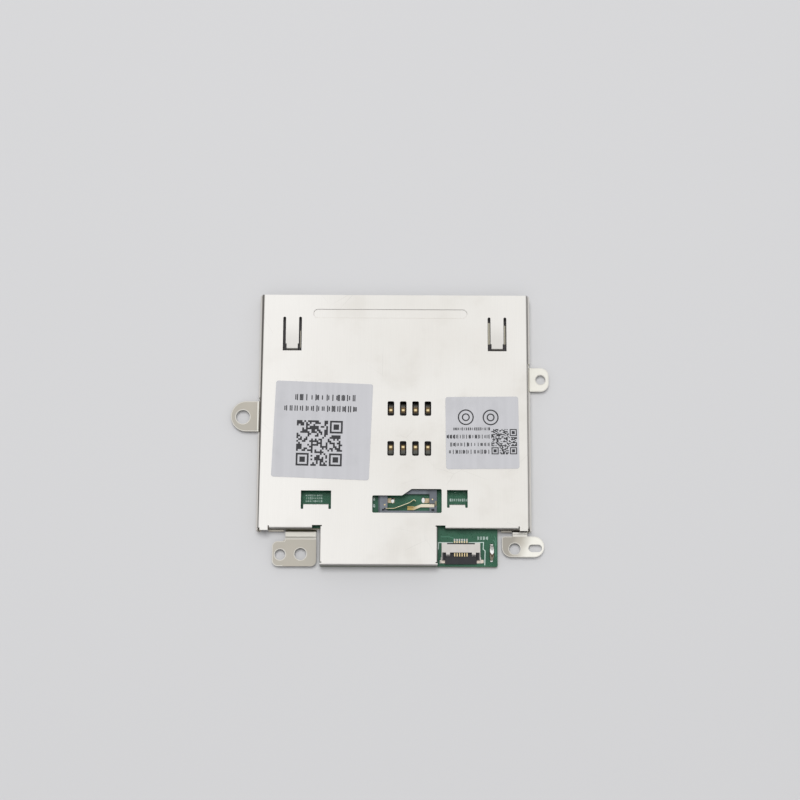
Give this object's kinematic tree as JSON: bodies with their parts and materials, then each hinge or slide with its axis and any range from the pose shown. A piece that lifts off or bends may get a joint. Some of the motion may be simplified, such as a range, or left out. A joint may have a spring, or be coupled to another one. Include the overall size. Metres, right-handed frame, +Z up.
{
  "type": "smart card reader board",
  "caption": "Slim laptop-type smart card reader module with a folded metal cover, sprung contacts, a card switch, mounting ears and a flat cable connector.",
  "frame": {"origin": "on the frame's underside, below the middle of the cover's rectangular body", "axes": "+Z up through the cover, +Y towards the card mouth, +X to the right as seen from above with the card mouth at the far side"},
  "size_m": [0.0658, 0.0564, 0.0036],
  "materials": {
    "cover_metal": "satin off-white sheet",
    "frame_metal": "satin warm nickel",
    "guide_plastic": "matt black moulding",
    "board_green": "green solder mask",
    "contact_gold": "gold-plated spring strip",
    "switch_plastic": "matt grey moulding",
    "tinned_metal": "tinned",
    "chip_plastic": "matt black epoxy",
    "capacitor_body": "fired ceramic",
    "label_paper": "satin grey film"
  },
  "bodies": {
    "reader": {"top_cover": "cover_metal", "base_frame": "frame_metal", "card_guide": "guide_plastic", "circuit_board": "board_green", "guide_rails": "guide_plastic", "switch_housing": "switch_plastic", "switch_contact": "contact_gold", "switch_terminals": "contact_gold", "connector_housing": "guide_plastic", "connector_shell": "tinned_metal", "connector_contacts": "contact_gold", "connector_nails": "tinned_metal", "ground_clip": "tinned_metal", "controller_chip": "chip_plastic", "crystal": "tinned_metal", "capacitors": "capacitor_body", "resistors": "chip_plastic", "large_label": "label_paper", "small_label": "label_paper"},
    "spring_1": {"contact_spring_1": "contact_gold"},
    "spring_2": {"contact_spring_2": "contact_gold"},
    "spring_3": {"contact_spring_3": "contact_gold"},
    "spring_4": {"contact_spring_4": "contact_gold"},
    "spring_5": {"contact_spring_5": "contact_gold"},
    "spring_6": {"contact_spring_6": "contact_gold"},
    "spring_7": {"contact_spring_7": "contact_gold"},
    "spring_8": {"contact_spring_8": "contact_gold"},
    "blade": {"switch_blade": "contact_gold"}
  },
  "joints": [
    {"name": "contact_spring_1_flex", "type": "hinge", "parent": "reader", "child": "spring_1", "pos_m": [-0.00071, 0.00482, 0.0012], "axis": [1, 0, 0], "range_deg": [0, 10], "stiffness_Nm_per_rad": 0.011},
    {"name": "contact_spring_2_flex", "type": "hinge", "parent": "reader", "child": "spring_2", "pos_m": [0.00183, 0.00482, 0.0012], "axis": [1, 0, 0], "range_deg": [0, 10], "stiffness_Nm_per_rad": 0.011},
    {"name": "contact_spring_3_flex", "type": "hinge", "parent": "reader", "child": "spring_3", "pos_m": [0.00437, 0.00482, 0.0012], "axis": [1, 0, 0], "range_deg": [0, 10], "stiffness_Nm_per_rad": 0.011},
    {"name": "contact_spring_4_flex", "type": "hinge", "parent": "reader", "child": "spring_4", "pos_m": [0.00691, 0.00482, 0.0012], "axis": [1, 0, 0], "range_deg": [0, 10], "stiffness_Nm_per_rad": 0.011},
    {"name": "contact_spring_5_flex", "type": "hinge", "parent": "reader", "child": "spring_5", "pos_m": [-0.00071, -0.012, 0.0012], "axis": [-1, 0, 0], "range_deg": [0, 10], "stiffness_Nm_per_rad": 0.011},
    {"name": "contact_spring_6_flex", "type": "hinge", "parent": "reader", "child": "spring_6", "pos_m": [0.00183, -0.012, 0.0012], "axis": [-1, 0, 0], "range_deg": [0, 10], "stiffness_Nm_per_rad": 0.011},
    {"name": "contact_spring_7_flex", "type": "hinge", "parent": "reader", "child": "spring_7", "pos_m": [0.00437, -0.012, 0.0012], "axis": [-1, 0, 0], "range_deg": [0, 10], "stiffness_Nm_per_rad": 0.011},
    {"name": "contact_spring_8_flex", "type": "hinge", "parent": "reader", "child": "spring_8", "pos_m": [0.00691, -0.012, 0.0012], "axis": [-1, 0, 0], "range_deg": [0, 10], "stiffness_Nm_per_rad": 0.011},
    {"name": "card_switch", "type": "hinge", "parent": "reader", "child": "blade", "pos_m": [-0.00131, -0.02006, 0.0023], "axis": [0, 0, -1], "range_deg": [0, 5], "stiffness_Nm_per_rad": 0.008}
  ]
}
